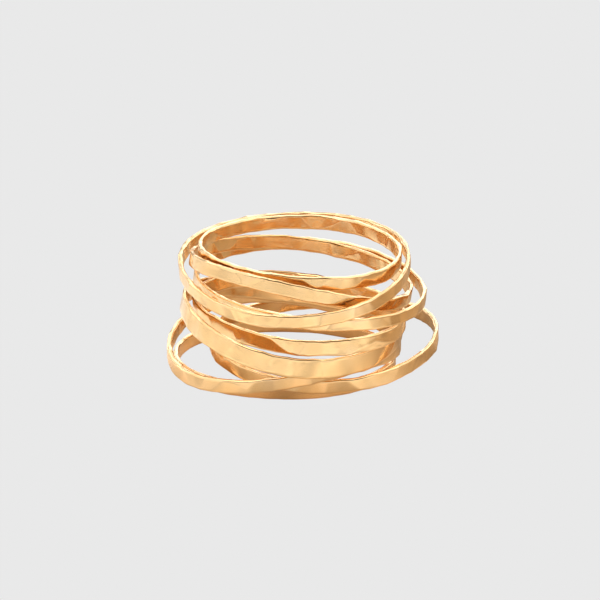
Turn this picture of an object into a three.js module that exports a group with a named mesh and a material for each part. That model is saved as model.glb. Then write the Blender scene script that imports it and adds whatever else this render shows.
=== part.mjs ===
// Stackable ring: nine thin hammered gold bands worn as one bundle.
// Each band is a closed loop, and the loops lean, shift and pass over and around each other.
// Millimetres. +Z is up, along the finger. +X is right and +Y is back, seen from the front.
// The origin is on the resting surface, under the middle of the bundle.

import * as THREE from "three";
import { mergeVertices } from "three/addons/utils/BufferGeometryUtils.js";

// Driving dimensions
const BAND_THICKNESS = 0.5;
const EDGE_BEVEL = 0.08;
const SECTIONS_PER_LOOP = 48;
const DEGREE = Math.PI / 180;

// One row for each loop, from the top of the bundle to the base.
//   width     band width, along the finger
//   radius    mean radius of the band
//   right     how far the loop's centre is shifted to the right
//   back      how far the loop's centre is shifted to the back
//   height    height of the loop's centre above the resting surface
//   riseRight lean in degrees, positive when the right side is the higher one
//   riseBack  lean in degrees, positive when the back is the higher one
//   oval      how much the radius grows at the direction ovalAt (degrees from +X towards +Y)
//   bend      how much the band lifts at the direction bendAt and opposite it
const COLUMNS = [
  "width", "radius", "right", "back", "height", "riseRight", "riseBack", "oval", "ovalAt", "bend", "bendAt",
];
const LOOPS = {
  loop_top_outer:      [ 1.20, 10.40, -0.65, -0.70,  9.85,   2.5,   3.5,  0.75,   -80,  0.35,     0],
  loop_top_inner:      [ 1.25,  8.55, -0.20, -0.90, 11.15,  -2.5,  -2.0,  0.05,   105,  0.15,    50],
  loop_upper_cross:    [ 1.25,  9.70, -0.10, -0.55,  9.30, -10.0,  -8.0,  0.40,    80,  0.40,    70],
  loop_right_shoulder: [ 1.15, 10.10,  0.65,  0.10,  7.90,  -3.0,  -1.0,  0.65,   -65,  0.10,    80],
  loop_middle:         [ 1.40,  8.55, -0.25, -2.05,  6.15,  -1.0,   0.0,  1.05,   -40,  0.15,   -15],
  loop_wide:           [ 1.80,  9.65, -0.80, -1.05,  4.90,  -8.0,  -1.5,  0.40,    75,  0.75,     0],
  loop_low_left:       [ 1.25,  9.85, -1.50, -0.40,  2.80,  -1.0,   1.5,  0.60,    50,  0.75,   -55],
  loop_low_right:      [ 1.25,  9.90,  1.90,  1.40,  2.35,   1.5,   1.0,  0.30,    80,  0.35,     5],
  loop_base:           [ 1.25,  8.85, -1.50,  1.55, 0.625,   0.0,   0.0,  0.50,    -5,  0.00,     0],
};

const GOLD = { color: 0xdca267, roughness: 0.28, metalness: 1.0 };

// The band's section, seen along the loop: a flat strip with its four corners taken off.
function bandSection(loop) {
  const outer = BAND_THICKNESS / 2;
  const top = loop.width / 2;
  const face = outer - EDGE_BEVEL;
  const side = top - EDGE_BEVEL;
  const corners = [
    [-outer, -side], [-face, -top], [face, -top], [outer, -side],
    [outer, side], [face, top], [-face, top], [-outer, side], [-outer, -side],
  ];
  return corners.map(([across, along]) => new THREE.Vector2(loop.radius + across, along));
}

// The middle of the band at one direction round the finger.
function centreline(loop, turn) {
  const radius = loop.radius + loop.oval * Math.cos(2 * (turn - loop.ovalAt * DEGREE));
  const x = radius * Math.cos(turn);
  const y = radius * Math.sin(turn);
  const lean = x * Math.tan(loop.riseRight * DEGREE) + y * Math.tan(loop.riseBack * DEGREE);
  const bend = loop.bend * Math.cos(2 * (turn - loop.bendAt * DEGREE));
  return new THREE.Vector3(loop.right + x, loop.back + y, loop.height + lean + bend);
}

// The direction of the loop's own axis.
function loopAxis(loop) {
  const right = -Math.tan(loop.riseRight * DEGREE);
  const back = -Math.tan(loop.riseBack * DEGREE);
  return new THREE.Vector3(right, back, 1).normalize();
}

// A plain turned hoop whose vertices are then carried onto the leaning, bent centreline.
function bandLoop(loop) {
  const hoop = new THREE.LatheGeometry(bandSection(loop), SECTIONS_PER_LOOP);
  hoop.deleteAttribute("normal");
  hoop.deleteAttribute("uv");
  hoop.rotateX(Math.PI / 2);
  const axis = loopAxis(loop);
  const place = hoop.getAttribute("position");
  for (let i = 0; i < place.count; i += 1) {
    const turn = Math.atan2(place.getY(i), place.getX(i));
    const across = Math.hypot(place.getX(i), place.getY(i)) - loop.radius;
    const outward = new THREE.Vector3(Math.cos(turn), Math.sin(turn), 0);
    outward.addScaledVector(axis, -outward.dot(axis)).normalize();
    const point = centreline(loop, turn);
    point.addScaledVector(outward, across);
    point.addScaledVector(axis, place.getZ(i));
    place.setXYZ(i, point.x, point.y, point.z);
  }
  const closed = mergeVertices(hoop, 0.0005);
  closed.computeVertexNormals();
  return closed;
}

const ring = new THREE.Group();
ring.name = "stackable_ring";

for (const [name, row] of Object.entries(LOOPS)) {
  const loop = Object.fromEntries(COLUMNS.map((column, i) => [column, row[i]]));
  const band = new THREE.Mesh(bandLoop(loop), new THREE.MeshStandardMaterial(GOLD));
  band.name = name;
  ring.add(band);
}

// The bundle is moved so that its box stands on the origin.
const box = new THREE.Box3().setFromObject(ring);
const middle = box.getCenter(new THREE.Vector3());
for (const band of ring.children) {
  band.geometry.translate(-middle.x, -middle.y, -box.min.z);
}

export default ring;
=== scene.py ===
"""The looks of a stackable ring: nine thin gold loops, hammered by hand, worn as one loose bundle.

Every loop is remade round the line of its own fixed solid: a rounded strip, planished on both faces, with
uneven rims. Its highest ridges stand a hair past the solid's faces. The frame is in metres, with +Z up along
the finger and +Y to the back. The goldsmith's sizes are in millimetres.
"""

import math

import bpy
import numpy as np
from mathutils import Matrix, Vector


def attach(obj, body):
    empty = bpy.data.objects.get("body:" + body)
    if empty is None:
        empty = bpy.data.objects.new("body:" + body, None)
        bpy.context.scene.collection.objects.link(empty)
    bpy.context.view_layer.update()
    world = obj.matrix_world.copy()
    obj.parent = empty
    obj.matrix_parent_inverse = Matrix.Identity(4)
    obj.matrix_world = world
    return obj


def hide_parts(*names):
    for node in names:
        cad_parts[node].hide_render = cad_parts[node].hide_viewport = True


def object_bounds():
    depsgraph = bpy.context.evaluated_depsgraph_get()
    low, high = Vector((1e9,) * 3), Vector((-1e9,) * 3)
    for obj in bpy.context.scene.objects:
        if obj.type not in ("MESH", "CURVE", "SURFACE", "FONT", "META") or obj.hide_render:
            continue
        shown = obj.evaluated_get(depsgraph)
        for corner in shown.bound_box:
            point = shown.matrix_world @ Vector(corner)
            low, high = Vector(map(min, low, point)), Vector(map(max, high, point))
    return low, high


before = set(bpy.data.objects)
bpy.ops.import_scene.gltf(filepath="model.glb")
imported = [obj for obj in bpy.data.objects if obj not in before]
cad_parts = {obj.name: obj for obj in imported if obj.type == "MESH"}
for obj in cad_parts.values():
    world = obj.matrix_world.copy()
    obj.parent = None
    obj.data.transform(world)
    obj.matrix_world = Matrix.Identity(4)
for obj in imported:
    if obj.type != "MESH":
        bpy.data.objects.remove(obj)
cad_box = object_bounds()

MM = 0.001

# ---------------------------------------------------------------- the strip, in mm

SOLID_CORNERS = 8             # corners of the strip's section in the fixed solid
SECTIONS = 840                # fine sections round a loop
FACE_STEPS = 11               # points across a hammered face
RIM_STEPS = 4                 # points across a rim
CORNER_STEPS = 4              # points round each rounded corner
CORNER_RADIUS = 0.15
PLAY = 0.012                  # kept free inside the fixed solid at each rim
PROUD = 0.03                  # how far the highest ridges stand past the fixed solid's faces
MAP_UNIT = 10.0               # length of strip in one unit of its map

# ---------------------------------------------------------------- the hammer work, in mm and degrees

MEAN_RADIUS = 10.0            # the loops' usual radius
FLATTENING = 0.4              # how much of that curve a blow takes out
HAMMER_RADIUS = 60.0          # the planishing hammer's slightly domed face
RIDGE_SOFTNESS = 0.006        # how round the ridges between blows are
RIDGE_PERCENT = 99.5          # the share of a face that lies below its highest ridges
DEEPEST_DENT = 0.12
DEEPEST_NOTCH = 0.13

BLOW_GAPS = (0.6, 1.4)        # shortest and longest gap between blows, as a share of the usual one
BLOW_SIDES = [-1.0, 0.0, 1.0]  # a blow falls near the lower rim, in the middle or near the upper rim
BLOW_CHANCES = [0.38, 0.24, 0.38]
BLOW_OFF = 0.5                # how far from the middle that is, as a share of the half width
BLOW_LEAN = (0.3, 1.0)        # least and most lean of a blow near a rim, as a share of the usual one
BLOW_DEPTH = 0.012            # how much deeper or shallower than the usual one a blow is
STRAY_LEAN = 1.2              # how far a blow's lean strays
FACE_ROCK = 1.8               # how far a blow rocks along the strip

RIM_GAPS = (0.5, 1.6)         # shortest and longest flat of a rim, as a share of the usual one
RIM_SPACING = 0.9             # the usual one, as a share of the loop's spacing
RIM_ROCK = 1.5
RIM_REACH = 0.35              # where a face begins to follow its rim, as a share of the half width
RIM_FADE = (1.0, 1.3)         # where the rim begins and where it is all rim, in half sizes of the section

RIPPLE = 0.0035               # soft unevenness inside a flat
RIPPLE_WAVES = 12
RIPPLE_TURNS = (18, 70)       # fewest and most waves round a loop
RIPPLE_SLANT = 3.0

# The work on each loop.
#   spacing   usual length of a flat
#   lean      its usual tilt across the strip
#   tip       how far all of the outer flats look down
#   notch     how far the rims are worked in
#   spread    how far they may stand out past the play
WORK_COLUMNS = ("seed", "spacing", "lean", "tip", "notch", "spread")
WORK = {
    "loop_top_outer":      (11, 1.6, 5.5, 0.0, 0.06, 0.045),
    "loop_top_inner":      (12, 1.5, 7.5, 0.0, 0.06, 0.045),
    "loop_upper_cross":    (13, 1.6, 5.0, 8.0, 0.07, 0.045),
    "loop_right_shoulder": (14, 1.4, 8.0, 2.0, 0.07, 0.045),
    "loop_middle":         (15, 1.7, 7.0, 0.0, 0.08, 0.045),
    "loop_wide":           (16, 1.8, 4.0, 0.0, 0.08, 0.045),
    "loop_low_left":       (17, 1.6, 4.0, 0.0, 0.06, 0.045),
    "loop_low_right":      (18, 1.6, 5.0, 0.0, 0.06, 0.045),
    "loop_base":           (19, 1.6, 4.0, 1.0, 0.05, 0.000),
}

# ---------------------------------------------------------------- the gold: colour and polish

GOLD = (0.93, 0.655, 0.38, 1.0)
# The warmer, darker gold: random clouds lean towards it, and so do the dents, as painted shade.
GOLD_WARM_SHADED = (0.88, 0.585, 0.28, 1.0)
DENT_SHADE = 0.5             # how much warmer and darker a deep dent is painted: painted shade in the hollows
MOTTLE_SCALE = 550.0          # clouds in the polish, to a metre
SATIN = (0.12, 0.26)          # roughness of the brightest and the dullest cloud
RIM_ROUGHNESS = 0.10          # rims are rubbed brighter by wear
STREAK_LENGTH = 0.9           # of the fine polishing lines, in mm
STREAK_WIDTH = 0.07
STREAK_DEPTH = 0.0012

# ---------------------------------------------------------------- the studio: sizes, tones and lights

PAPER = (0.815, 0.815, 0.815, 1.0)  # the pale surface as it is seen
FLOOR_SIZE = 4.0

# The table's tone by distance from the ring's middle, in mm. Close to the ring it is painted dim and warm:
# painted shade under the bands, and painted warm light bounced off the gold in its middle. Far out, past 220
# mm, it grows darker.
TABLE = [
    (0.0, (0.98, 0.90, 0.78)),
    (10.0, (0.66, 0.50, 0.34)),
    (16.0, (0.80, 0.73, 0.64)),
    (24.0, (0.86, 0.84, 0.81)),
    (220.0, (0.82, 0.81, 0.79)),
    (320.0, (0.45, 0.43, 0.40)),
]
TABLE_EDGE = 320.0
TABLE_SHADE_BEHIND = (0.44, 0.33, 0.22, 1.0)  # painted shade on the table behind the ring and to its right, which the gold reflects
BEHIND = (-1.0, 19.0)         # where that painted shade begins and where it is full, as mm right plus mm back
TABLE_BOUNCE_GLOW = 0.25             # a painted glow of the whole table, a stand-in for bounced light
TABLE_PATCH = 7.0             # size in mm of the soft, lighter and darker patches of the table
PATCH_DEPTH = 0.4
PATCH_FADE = (0.35, 0.65)     # values of the noise from the darkest patch to the lightest

TENT_LIGHT = 1.35
BACK_LIGHT = 3.0              # the brightest patches of the tent behind the ring, and its dimmest
BACK_DIM = 0.45
BACK_FROM = 0.35              # how far back the patches begin, as a direction's part along Y
BACK_SCALE = 4.5
BACK_FADE = (0.42, 0.6)
# The dim opening of the tent round the lens: how far its middle is up, and its half height, in degrees, and
# how far back it reaches, as a direction's part along Y.
OPENING_AT = 30.0
OPENING_HALF = 23.0
OPENING_BACK = -0.55
OPENING_TONE = (0.10, 0.06, 0.03, 1.0)
EDGE_UP = 0.04                # how soft the edges between parts of the tent are, upwards
EDGE_BACK = 0.2               # the same, towards the back
BEYOND = 2.0                  # past every direction's part

# Azimuth turns from the front to the right, and both angles are in degrees. Distance and size are in metres,
# and power is in watts.
SOFTBOXES = {
    "key": {"azimuth": -50, "elevation": 55, "distance": 0.25, "size": 0.12, "power": 0.08},
    "fill": {"azimuth": 60, "elevation": 40, "distance": 0.25, "size": 0.15, "power": 0.05},
}

# The view: nearly level, through a very long lens.
VIEW_ELEVATION = 20.0
VIEW_WIDTH = 51.25 * MM
VIEW_SHIFT = Vector((-0.28, 0.0, 0.34)) * MM
LENS = 900.0
SENSOR = 36.0
CLIP = (0.01, 10.0)

low_corner, high_corner = cad_box
middle = (low_corner + high_corner) / 2


# ---------------------------------------------------------------- the line and frame of each loop


def refine_round(values, count):
    """A closed, evenly spaced run of values, refined to count values through its own harmonics."""
    waves = np.fft.rfft(values, axis=0)
    return np.fft.irfft(waves, n=count, axis=0) * (count / len(values))


def unit(vectors):
    return vectors / np.linalg.norm(vectors, axis=1)[:, None]


def loop_path(node):
    """The loop's middle line in mm, its ways out of and along the finger, and the strip's half sizes."""
    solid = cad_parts[node].data
    corners = np.zeros(len(solid.vertices) * 3)
    solid.vertices.foreach_get("co", corners)
    corners = np.unique(np.round(corners.reshape(-1, 3) / MM, 4), axis=0)
    centre = (corners.min(0) + corners.max(0)) / 2
    count = len(corners) // SOLID_CORNERS
    turn = np.arctan2(corners[:, 1] - centre[1], corners[:, 0] - centre[0])
    turn = (turn + math.pi / count) % (2 * math.pi)
    sections = corners[np.argsort(turn)].reshape(count, SOLID_CORNERS, 3)
    centres = sections.mean(1)
    spread = sections - centres[:, None, :]
    _, _, ways = np.linalg.svd(spread)
    along = ways[:, 0] * np.sign(ways[:, 0, 2])[:, None]
    radial = centres - centre
    outward = ways[:, 1] * np.sign((ways[:, 1] * radial).sum(1))[:, None]
    half_width = np.abs((spread * along[:, None, :]).sum(2)).max()
    half_thick = np.abs((spread * outward[:, None, :]).sum(2)).max()
    line = refine_round(centres, SECTIONS)
    along = unit(refine_round(along, SECTIONS))
    outward = refine_round(outward, SECTIONS)
    outward = unit(outward - (outward * along).sum(1)[:, None] * along)
    return line, outward, along, half_thick, half_width


def distance_round(line):
    """Distance in mm along the closed line to each of its points, and the whole length."""
    steps = np.linalg.norm(np.roll(line, -1, axis=0) - line, axis=1)
    return np.concatenate([[0.0], np.cumsum(steps)[:-1]]), steps.sum()


# ---------------------------------------------------------------- hammer work


def places_round(rng, length, spacing, gap_range):
    """Uneven places one after another round a loop."""
    gaps = rng.uniform(*gap_range, int(round(length / spacing)))
    return np.cumsum(gaps) / gaps.sum() * length


def nearest_way(distance, at, length):
    """How far each distance is from a place on the closed loop, the shorter way round."""
    return (distance - at + length / 2) % length - length / 2


def slope(degrees):
    return np.tan(np.radians(degrees))


def soft_lowest(level, axis):
    """The lowest of some surfaces at each point, with the ridges between them a little rounded."""
    return -RIDGE_SOFTNESS * np.log(np.exp(-level / RIDGE_SOFTNESS).sum(axis))


def lay_blows(rng, length, half_width, spacing, lean, tip):
    """Blows that follow one another round one face. Most fall nearer one rim and lean down towards it."""
    at = places_round(rng, length, spacing, BLOW_GAPS)
    count = len(at)
    side = rng.choice(BLOW_SIDES, count, p=BLOW_CHANCES)
    tilt = -side * rng.uniform(*BLOW_LEAN, count) * lean + rng.normal(0.0, STRAY_LEAN, count) + tip
    return {
        "at": at,
        "off": side * BLOW_OFF * half_width,
        "depth": rng.uniform(-BLOW_DEPTH, BLOW_DEPTH, count),
        "lean_along": slope(rng.normal(0.0, FACE_ROCK, count)),
        "lean_across": slope(tilt),
    }


def beaten_level(distance, across, length, blows):
    """Height in mm of the beaten face, at each distance round the loop and each place across the strip."""
    gap = nearest_way(distance[:, None, None], blows["at"], length)
    reach = across[None, :, None] - blows["off"]
    flat = FLATTENING * gap**2 / (2 * MEAN_RADIUS)
    dome = (gap**2 + reach**2) / (2 * HAMMER_RADIUS)
    tilt = gap * blows["lean_along"] + reach * blows["lean_across"]
    return soft_lowest(blows["depth"] + flat + dome + tilt, 2)


def ripple(rng, distance, length, across):
    """A soft unevenness that closes on itself round the loop."""
    total = np.zeros((len(distance), len(across)))
    for _ in range(RIPPLE_WAVES):
        turns = rng.integers(*RIPPLE_TURNS)
        round_part = 2 * math.pi * turns * distance / length + rng.uniform(0, 2 * math.pi)
        total += np.cos(round_part[:, None] + across[None, :] * rng.uniform(-RIPPLE_SLANT, RIPPLE_SLANT))
    return total * RIPPLE / math.sqrt(RIPPLE_WAVES / 2)


def beaten_face(rng, distance, length, across, half_width, work, tip):
    """How deep each point of a face is beaten in, in mm, and how deep it is as a share of the deepest."""
    blows = lay_blows(rng, length, half_width, work["spacing"], work["lean"], tip)
    level = beaten_level(distance, across, length, blows)
    dent = np.percentile(level, RIDGE_PERCENT) - level
    dent = np.clip(dent + ripple(rng, distance, length, across), 0.0, DEEPEST_DENT)
    return dent, dent / DEEPEST_DENT


def worked_rim(rng, distance, length, work):
    """How far a rim is worked in, in mm, along the loop: long flats with soft kinks between them."""
    at = places_round(rng, length, work["spacing"] * RIM_SPACING, RIM_GAPS)
    gap = nearest_way(distance[:, None], at, length)
    lean = slope(rng.normal(0.0, RIM_ROCK, len(at)))
    depth = rng.uniform(-0.5, 0.5, len(at)) * work["notch"]
    level = soft_lowest(depth + gap**2 / (2 * MEAN_RADIUS) + gap * lean, 1)
    return np.clip(level.mean() - level, -work["spread"], DEEPEST_NOTCH)


def strip_profile(half_thick, half_width):
    """The strip's rounded section as points (out, up), once round, from the outer face over the top."""
    face = half_width - CORNER_RADIUS
    side = half_thick - CORNER_RADIUS
    quarter = np.linspace(0.0, math.pi / 2, CORNER_STEPS + 2)[1:-1]
    round_part = CORNER_RADIUS * np.stack([np.cos(quarter), np.sin(quarter)], axis=1)
    up = np.linspace(-face, face, FACE_STEPS)
    across = np.linspace(side, -side, RIM_STEPS)
    outer = np.stack([np.full(FACE_STEPS, half_thick), up], axis=1)
    top_out = round_part + [side, face]
    top = np.stack([across, np.full(RIM_STEPS, half_width)], axis=1)
    top_in = round_part[::-1] * [-1, 1] + [-side, face]
    inner = np.stack([np.full(FACE_STEPS, -half_thick), -up], axis=1)
    low_in = -round_part + [-side, -face]
    low = np.stack([-across, np.full(RIM_STEPS, -half_width)], axis=1)
    low_out = round_part[::-1] * [1, -1] + [side, -face]
    return np.concatenate([outer, top_out, top, top_in, inner, low_in, low, low_out])


def ease(value, low, high):
    """0 below low, 1 above high, smooth between."""
    share = np.clip((value - low) / (high - low), 0.0, 1.0)
    return share * share * (3 - 2 * share)


def round_quads(count, ring):
    """Faces of a closed tube with count sections of ring points each."""
    grid = np.arange(count * ring).reshape(count, ring)
    ahead = np.roll(grid, -1, axis=0)
    return np.stack([grid, ahead, np.roll(ahead, -1, axis=1), np.roll(grid, -1, axis=1)], axis=2)


def hammered_loop(node):
    """One loop: its mesh, with masks for how beaten a point is and how near it is to a rim."""
    work = dict(zip(WORK_COLUMNS, WORK[node]))
    rng = np.random.default_rng(work["seed"])
    line, outward, along, half_thick, half_width = loop_path(node)
    half_thick += PROUD
    half_width -= PLAY
    distance, length = distance_round(line)
    profile = strip_profile(half_thick, half_width)
    out, up = profile[:, 0], profile[:, 1]
    outer_dent, outer_share = beaten_face(rng, distance, length, up, half_width, work, work["tip"])
    inner_dent, inner_share = beaten_face(rng, distance, length, up, half_width, work, 0.0)
    top_notch = worked_rim(rng, distance, length, work)
    low_notch = worked_rim(rng, distance, length, work)
    outer = ease(out / half_thick, 0.0, 1.0)
    inner = ease(-out / half_thick, 0.0, 1.0)
    top = ease(up / half_width, RIM_REACH, 1.0)
    low = ease(-up / half_width, RIM_REACH, 1.0)
    x = out - outer_dent * outer + inner_dent * inner
    y = up - top_notch[:, None] * top + low_notch[:, None] * low
    places = line[:, None, :] + outward[:, None, :] * x[:, :, None] + along[:, None, :] * y[:, :, None]
    quads = round_quads(*x.shape)
    mesh = bpy.data.meshes.new(node + "_hammered")
    mesh.from_pydata((places.reshape(-1, 3) * MM).tolist(), [], quads.reshape(-1, 4).tolist())
    mesh.shade_smooth()
    rim = np.broadcast_to(ease(np.hypot(out / half_thick, up / half_width), *RIM_FADE), x.shape)
    beaten = outer_share * outer + inner_share * inner
    for name, mask in {"rim": rim, "beaten": beaten}.items():
        layer = mesh.attributes.new(name, "FLOAT", "POINT")
        layer.data.foreach_set("value", mask.reshape(-1).astype(np.float32))
    add_strip_map(mesh, distance, length, profile)
    return mesh


def add_strip_map(mesh, distance, length, profile):
    """A flat map of the strip: across is the way round the loop, and up is the way round the section."""
    steps = np.linalg.norm(np.roll(profile, -1, axis=0) - profile, axis=1)
    girth = np.concatenate([[0.0], np.cumsum(steps)[:-1]])
    ring = len(profile)
    corners = np.zeros(len(mesh.loops), int)
    mesh.loops.foreach_get("vertex_index", corners)
    u = distance[corners // ring] / MAP_UNIT
    v = girth[corners % ring] / MAP_UNIT
    face = np.repeat(np.arange(len(mesh.polygons)), 4)
    wraps_u = (face // ring == len(distance) - 1) & (corners // ring == 0)
    wraps_v = (face % ring == ring - 1) & (corners % ring == 0)
    u = u + wraps_u * length / MAP_UNIT
    v = v + wraps_v * steps.sum() / MAP_UNIT
    layer = mesh.uv_layers.new(name="strip")
    layer.data.foreach_set("uv", np.stack([u, v], axis=1).reshape(-1).astype(np.float32))


# ---------------------------------------------------------------- shader nodes


def node_at(tree, kind, inputs=None, **settings):
    """A new node with its settings and plain input values."""
    made = tree.nodes.new(kind)
    for name, value in settings.items():
        setattr(made, name, value)
    for name, value in (inputs or {}).items():
        made.inputs[name].default_value = value
    return made


def remap(tree, value, before, after=(0.0, 1.0), smooth=False):
    """A value moved from one range to another and held at both ends."""
    ends = {"From Min": before[0], "From Max": before[1], "To Min": after[0], "To Max": after[1]}
    kind = "SMOOTHSTEP" if smooth else "LINEAR"
    made = node_at(tree, "ShaderNodeMapRange", ends, interpolation_type=kind)
    tree.links.new(value, made.inputs["Value"])
    return made.outputs["Result"]


def combine(tree, operation, first, second):
    """Two values joined by one sum."""
    made = node_at(tree, "ShaderNodeMath", operation=operation)
    tree.links.new(first, made.inputs[0])
    tree.links.new(second, made.inputs[1])
    return made.outputs[0]


def noise(tree, place, scale, detail):
    made = node_at(tree, "ShaderNodeTexNoise", {"Scale": scale, "Detail": detail})
    tree.links.new(place, made.inputs["Vector"])
    return made.outputs["Fac"]


def mix_shader(tree, factor, first, second):
    mixed = node_at(tree, "ShaderNodeMixShader")
    tree.links.new(factor, mixed.inputs["Fac"])
    tree.links.new(first, mixed.inputs[1])
    tree.links.new(second, mixed.inputs[2])
    return mixed.outputs[0]


# ---------------------------------------------------------------- the gold


def hammered_gold():
    """Polished gold, warmer in random clouds and painted warmer and darker in the dents as painted shade,
    satin from fine polishing lines along the strip.
    """
    gold = bpy.data.materials.new("hammered_gold")
    gold.use_nodes = True
    tree = gold.node_tree
    tree.nodes.clear()
    link = tree.links.new
    output = node_at(tree, "ShaderNodeOutputMaterial")
    metal = node_at(tree, "ShaderNodeBsdfPrincipled", {"Metallic": 1.0})
    link(metal.outputs["BSDF"], output.inputs["Surface"])
    place = node_at(tree, "ShaderNodeTexCoord")
    clouds = noise(tree, place.outputs["Object"], MOTTLE_SCALE, 2.0)
    beaten = node_at(tree, "ShaderNodeAttribute", attribute_name="beaten")
    rim = node_at(tree, "ShaderNodeAttribute", attribute_name="rim")

    # Random clouds, plus painted shade that darkens and warms the gold in the dents.
    clouds_and_dent_shade = node_at(tree, "ShaderNodeMath", {1: DENT_SHADE}, operation="MULTIPLY_ADD", use_clamp=True)
    link(beaten.outputs["Fac"], clouds_and_dent_shade.inputs[0])
    link(clouds, clouds_and_dent_shade.inputs[2])
    colour = node_at(tree, "ShaderNodeMix", data_type="RGBA")
    colour.inputs["A"].default_value = GOLD
    colour.inputs["B"].default_value = GOLD_WARM_SHADED
    link(clouds_and_dent_shade.outputs[0], colour.inputs["Factor"])
    link(colour.outputs["Result"], metal.inputs["Base Color"])

    rough = node_at(tree, "ShaderNodeMix", {"B": RIM_ROUGHNESS}, data_type="FLOAT")
    link(rim.outputs["Fac"], rough.inputs["Factor"])
    link(remap(tree, clouds, (0.0, 1.0), SATIN), rough.inputs["A"])
    link(rough.outputs["Result"], metal.inputs["Roughness"])

    strip = node_at(tree, "ShaderNodeUVMap", uv_map="strip")
    streak = (MAP_UNIT / STREAK_LENGTH, MAP_UNIT / STREAK_WIDTH, 1.0)
    stretch = node_at(tree, "ShaderNodeMapping", {"Scale": streak})
    link(strip.outputs["UV"], stretch.inputs["Vector"])
    lines = node_at(tree, "ShaderNodeBump", {"Strength": 1.0, "Distance": STREAK_DEPTH * MM})
    link(noise(tree, stretch.outputs["Vector"], 1.0, 2.0), lines.inputs["Height"])
    link(lines.outputs["Normal"], metal.inputs["Normal"])
    return gold


# ---------------------------------------------------------------- the studio


def table_tone_and_shade(tree):
    """The table's colour: painted shade and warm bounce by distance from the ring, painted shade behind it
    and to its right, in soft random patches.
    """
    link = tree.links.new
    place = node_at(tree, "ShaderNodeTexCoord").outputs["Object"]
    reach = node_at(tree, "ShaderNodeVectorMath", operation="LENGTH")
    link(place, reach.inputs[0])
    share = node_at(tree, "ShaderNodeMath", {1: TABLE_EDGE * MM}, operation="DIVIDE", use_clamp=True)
    link(reach.outputs["Value"], share.inputs[0])
    # Painted shade under the bands and painted warm bounce in the ring's middle, by distance.
    near = node_at(tree, "ShaderNodeValToRGB")
    link(share.outputs[0], near.inputs["Fac"])
    stops = near.color_ramp.elements
    while len(stops) < len(TABLE):
        stops.new(0.5)
    for stop, (distance, colour) in zip(stops, TABLE):
        stop.position = distance / TABLE_EDGE
        stop.color = (*colour, 1.0)

    # Painted shade behind the ring and to its right, which the rims reflect as darker tones.
    parts = node_at(tree, "ShaderNodeSeparateXYZ")
    link(place, parts.inputs[0])
    slanting = combine(tree, "ADD", parts.outputs["X"], parts.outputs["Y"])
    behind = remap(tree, slanting, (BEHIND[0] * MM, BEHIND[1] * MM), smooth=True)
    whole = node_at(tree, "ShaderNodeMix", data_type="RGBA")
    whole.inputs["B"].default_value = TABLE_SHADE_BEHIND
    link(behind, whole.inputs["Factor"])
    link(near.outputs["Color"], whole.inputs["A"])

    patches = noise(tree, place, 1 / (TABLE_PATCH * MM), 1.0)
    depth = remap(tree, patches, PATCH_FADE, (1.0 - PATCH_DEPTH, 1.0 + PATCH_DEPTH / 4))
    scaled = node_at(tree, "ShaderNodeVectorMath", operation="SCALE")
    link(whole.outputs["Result"], scaled.inputs[0])
    link(depth, scaled.inputs["Scale"])
    return scaled.outputs["Vector"]


def studio_floor():
    """A plain pale surface. It is seen in one even tone, and lit as a table of its real size; to lights and
    reflections it carries painted shade near and behind the ring, and a painted glow that stands in for
    bounced light.
    """
    mesh = bpy.data.meshes.new("floor")
    half = FLOOR_SIZE / 2
    corners = [(-half, -half, 0), (half, -half, 0), (half, half, 0), (-half, half, 0)]
    mesh.from_pydata(corners, [], [(0, 1, 2, 3)])
    floor = bpy.data.objects.new("floor", mesh)
    bpy.context.scene.collection.objects.link(floor)
    paper = bpy.data.materials.new("pale_paper")
    paper.use_nodes = True
    tree = paper.node_tree
    tree.nodes.clear()
    link = tree.links.new
    output = node_at(tree, "ShaderNodeOutputMaterial")
    seen = node_at(tree, "ShaderNodeEmission", {"Color": PAPER})
    tone = table_tone_and_shade(tree)
    diffuse = node_at(tree, "ShaderNodeBsdfDiffuse")
    link(tone, diffuse.inputs["Color"])
    # Painted glow: the table shines a little in its own tone, a stand-in for bounced light.
    bounce_glow = node_at(tree, "ShaderNodeEmission", {"Strength": TABLE_BOUNCE_GLOW})
    link(tone, bounce_glow.inputs["Color"])
    lit = node_at(tree, "ShaderNodeAddShader")
    link(diffuse.outputs[0], lit.inputs[0])
    link(bounce_glow.outputs[0], lit.inputs[1])
    path = node_at(tree, "ShaderNodeLightPath")
    surface = mix_shader(tree, path.outputs["Is Camera Ray"], lit.outputs[0], seen.outputs[0])
    link(surface, output.inputs["Surface"])
    mesh.materials.append(paper)


def band_mask(tree, value, low, high, soft):
    """1 where value lies between low and high, 0 outside, with soft edges."""
    rise = remap(tree, value, (low - soft, low + soft), smooth=True)
    fall = remap(tree, value, (high - soft, high + soft), (1.0, 0.0), smooth=True)
    return combine(tree, "MULTIPLY", rise, fall)


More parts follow.
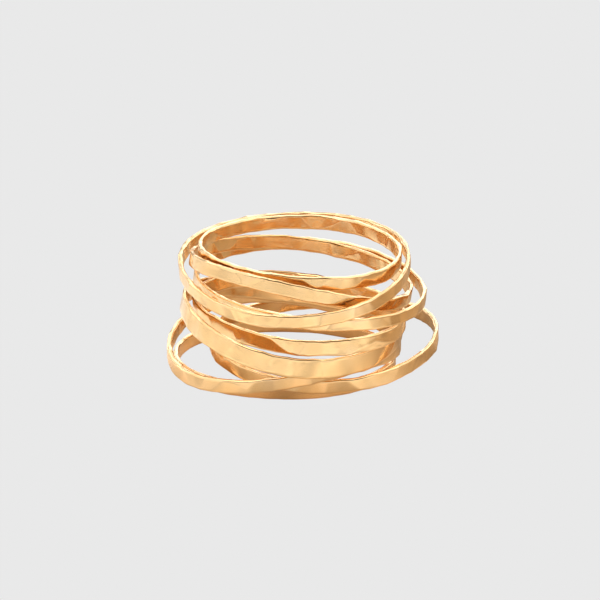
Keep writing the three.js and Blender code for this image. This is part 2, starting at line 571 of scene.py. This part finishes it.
def studio_room():
    """A white tent over the table, with bright patches behind and a dim opening in front, round the lens."""
    world = bpy.data.worlds.new("tent")
    bpy.context.scene.world = world
    world.use_nodes = True
    tree = world.node_tree
    tree.nodes.clear()
    link = tree.links.new
    output = node_at(tree, "ShaderNodeOutputWorld")
    place = node_at(tree, "ShaderNodeTexCoord")
    parts = node_at(tree, "ShaderNodeSeparateXYZ")
    link(place.outputs["Generated"], parts.inputs[0])

    opening_low = math.sin(math.radians(OPENING_AT - OPENING_HALF))
    opening_high = math.sin(math.radians(OPENING_AT + OPENING_HALF))
    belt = band_mask(tree, parts.outputs["Z"], opening_low, opening_high, EDGE_UP)
    front = band_mask(tree, parts.outputs["Y"], -BEYOND, OPENING_BACK, EDGE_BACK)
    walls = node_at(tree, "ShaderNodeMix", data_type="RGBA")
    walls.inputs["A"].default_value = (1.0, 1.0, 1.0, 1.0)
    walls.inputs["B"].default_value = OPENING_TONE
    link(combine(tree, "MULTIPLY", belt, front), walls.inputs["Factor"])

    patches = noise(tree, place.outputs["Generated"], BACK_SCALE, 1.0)
    light = node_at(tree, "ShaderNodeMix", data_type="FLOAT")
    light.inputs["A"].default_value = TENT_LIGHT
    link(band_mask(tree, parts.outputs["Y"], BACK_FROM, BEYOND, EDGE_BACK), light.inputs["Factor"])
    link(remap(tree, patches, BACK_FADE, (BACK_DIM, BACK_LIGHT)), light.inputs["B"])

    tent = node_at(tree, "ShaderNodeBackground")
    link(walls.outputs["Result"], tent.inputs["Color"])
    link(light.outputs["Result"], tent.inputs["Strength"])
    seen = node_at(tree, "ShaderNodeBackground", {"Color": PAPER})
    path = node_at(tree, "ShaderNodeLightPath")
    surface = mix_shader(tree, path.outputs["Is Camera Ray"], tent.outputs[0], seen.outputs[0])
    link(surface, output.inputs["Surface"])


def direction(azimuth, elevation):
    """The direction from the ring to a place round it."""
    a, e = math.radians(azimuth), math.radians(elevation)
    return Vector((math.sin(a) * math.cos(e), -math.cos(a) * math.cos(e), math.sin(e)))


def softbox(name, azimuth, elevation, distance, size, power):
    """A square soft light that faces the ring."""
    light = bpy.data.lights.new(name, "AREA")
    light.shape = "SQUARE"
    light.size = size
    light.energy = power
    lamp = bpy.data.objects.new(name, light)
    away = direction(azimuth, elevation)
    lamp.location = middle + away * distance
    lamp.rotation_euler = away.to_track_quat("Z", "Y").to_euler()
    bpy.context.scene.collection.objects.link(lamp)


def studio_camera():
    camera = bpy.data.objects.new("camera", bpy.data.cameras.new("camera"))
    camera.data.lens = LENS
    camera.data.sensor_width = SENSOR
    camera.data.clip_start, camera.data.clip_end = CLIP
    away = direction(0.0, VIEW_ELEVATION)
    camera.location = middle + VIEW_SHIFT + away * (VIEW_WIDTH * LENS / SENSOR)
    camera.rotation_euler = away.to_track_quat("Z", "Y").to_euler()
    bpy.context.scene.collection.objects.link(camera)
    bpy.context.scene.camera = camera


# ---------------------------------------------------------------- build

gold = hammered_gold()
for node in WORK:
    mesh = hammered_loop(node)
    mesh.materials.append(gold)
    loop = bpy.data.objects.new(node + "_hammered", mesh)
    bpy.context.scene.collection.objects.link(loop)
    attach(loop, "root")
    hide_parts(node)

studio_floor()
studio_room()
for name, box in SOFTBOXES.items():
    softbox(name, **box)
studio_camera()
bpy.context.scene.view_settings.view_transform = "Standard"
